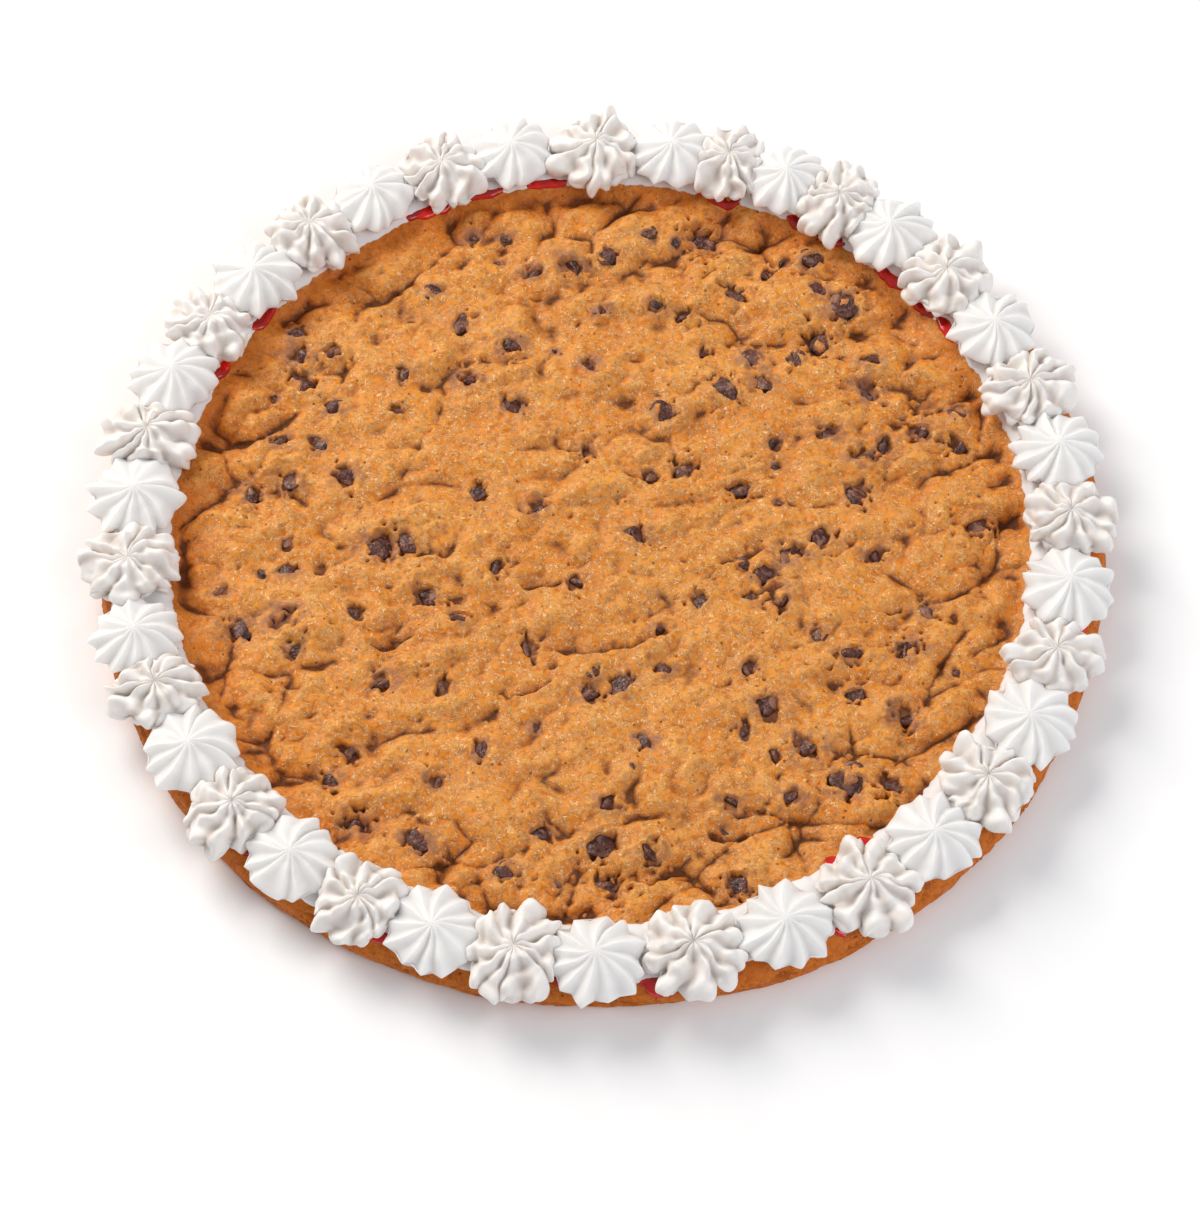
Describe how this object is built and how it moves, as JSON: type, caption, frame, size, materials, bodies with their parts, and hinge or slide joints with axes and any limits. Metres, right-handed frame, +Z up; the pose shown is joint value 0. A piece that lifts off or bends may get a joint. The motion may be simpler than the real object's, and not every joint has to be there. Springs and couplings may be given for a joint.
{
  "type": "chocolate chip cookie cake",
  "caption": "Large round chocolate chip cookie cake with a flat underside, a lumpy baked top set with chocolate chips, and a border of piped white rosettes over a thin line of red gel.",
  "frame": {"origin": "centre of the cookie's round underside, on the surface it lies on", "axes": "+Z up through the thickness; +Y to the back and +X to the right, as seen in the picture"},
  "size_m": [0.3084, 0.3088, 0.0216],
  "materials": {
    "baked_dough": "baked golden brown crust, fine grain, satin",
    "chocolate": "milk chocolate with a soft sheen",
    "red_gel": "clear red icing gel, wet gloss",
    "smeared_icing": "smeared white icing, satin",
    "soft_icing": "soft whipped white icing, satin",
    "crisp_icing": "crisp whipped white icing, satin"
  },
  "bodies": {
    "root": {"cookie": "baked_dough", "gel_ring": "red_gel", "icing_band": "smeared_icing", "rosette_01": "soft_icing", "rosette_02": "crisp_icing", "rosette_03": "soft_icing", "rosette_04": "crisp_icing", "rosette_05": "soft_icing", "rosette_06": "crisp_icing", "rosette_07": "soft_icing", "rosette_08": "crisp_icing", "rosette_09": "soft_icing", "rosette_10": "crisp_icing", "rosette_11": "soft_icing", "rosette_12": "crisp_icing", "rosette_13": "soft_icing", "rosette_14": "crisp_icing", "rosette_15": "soft_icing", "rosette_16": "crisp_icing", "rosette_17": "soft_icing", "rosette_18": "crisp_icing", "rosette_19": "soft_icing", "rosette_20": "crisp_icing", "rosette_21": "soft_icing", "rosette_22": "crisp_icing", "rosette_23": "soft_icing", "rosette_24": "crisp_icing", "rosette_25": "soft_icing", "rosette_26": "crisp_icing", "rosette_27": "soft_icing", "rosette_28": "crisp_icing", "rosette_29": "soft_icing", "rosette_30": "crisp_icing", "rosette_31": "soft_icing", "rosette_32": "crisp_icing", "rosette_33": "soft_icing", "rosette_34": "crisp_icing", "rosette_35": "soft_icing", "rosette_36": "crisp_icing", "rosette_37": "soft_icing", "rosette_38": "crisp_icing"}
  },
  "joints": []
}
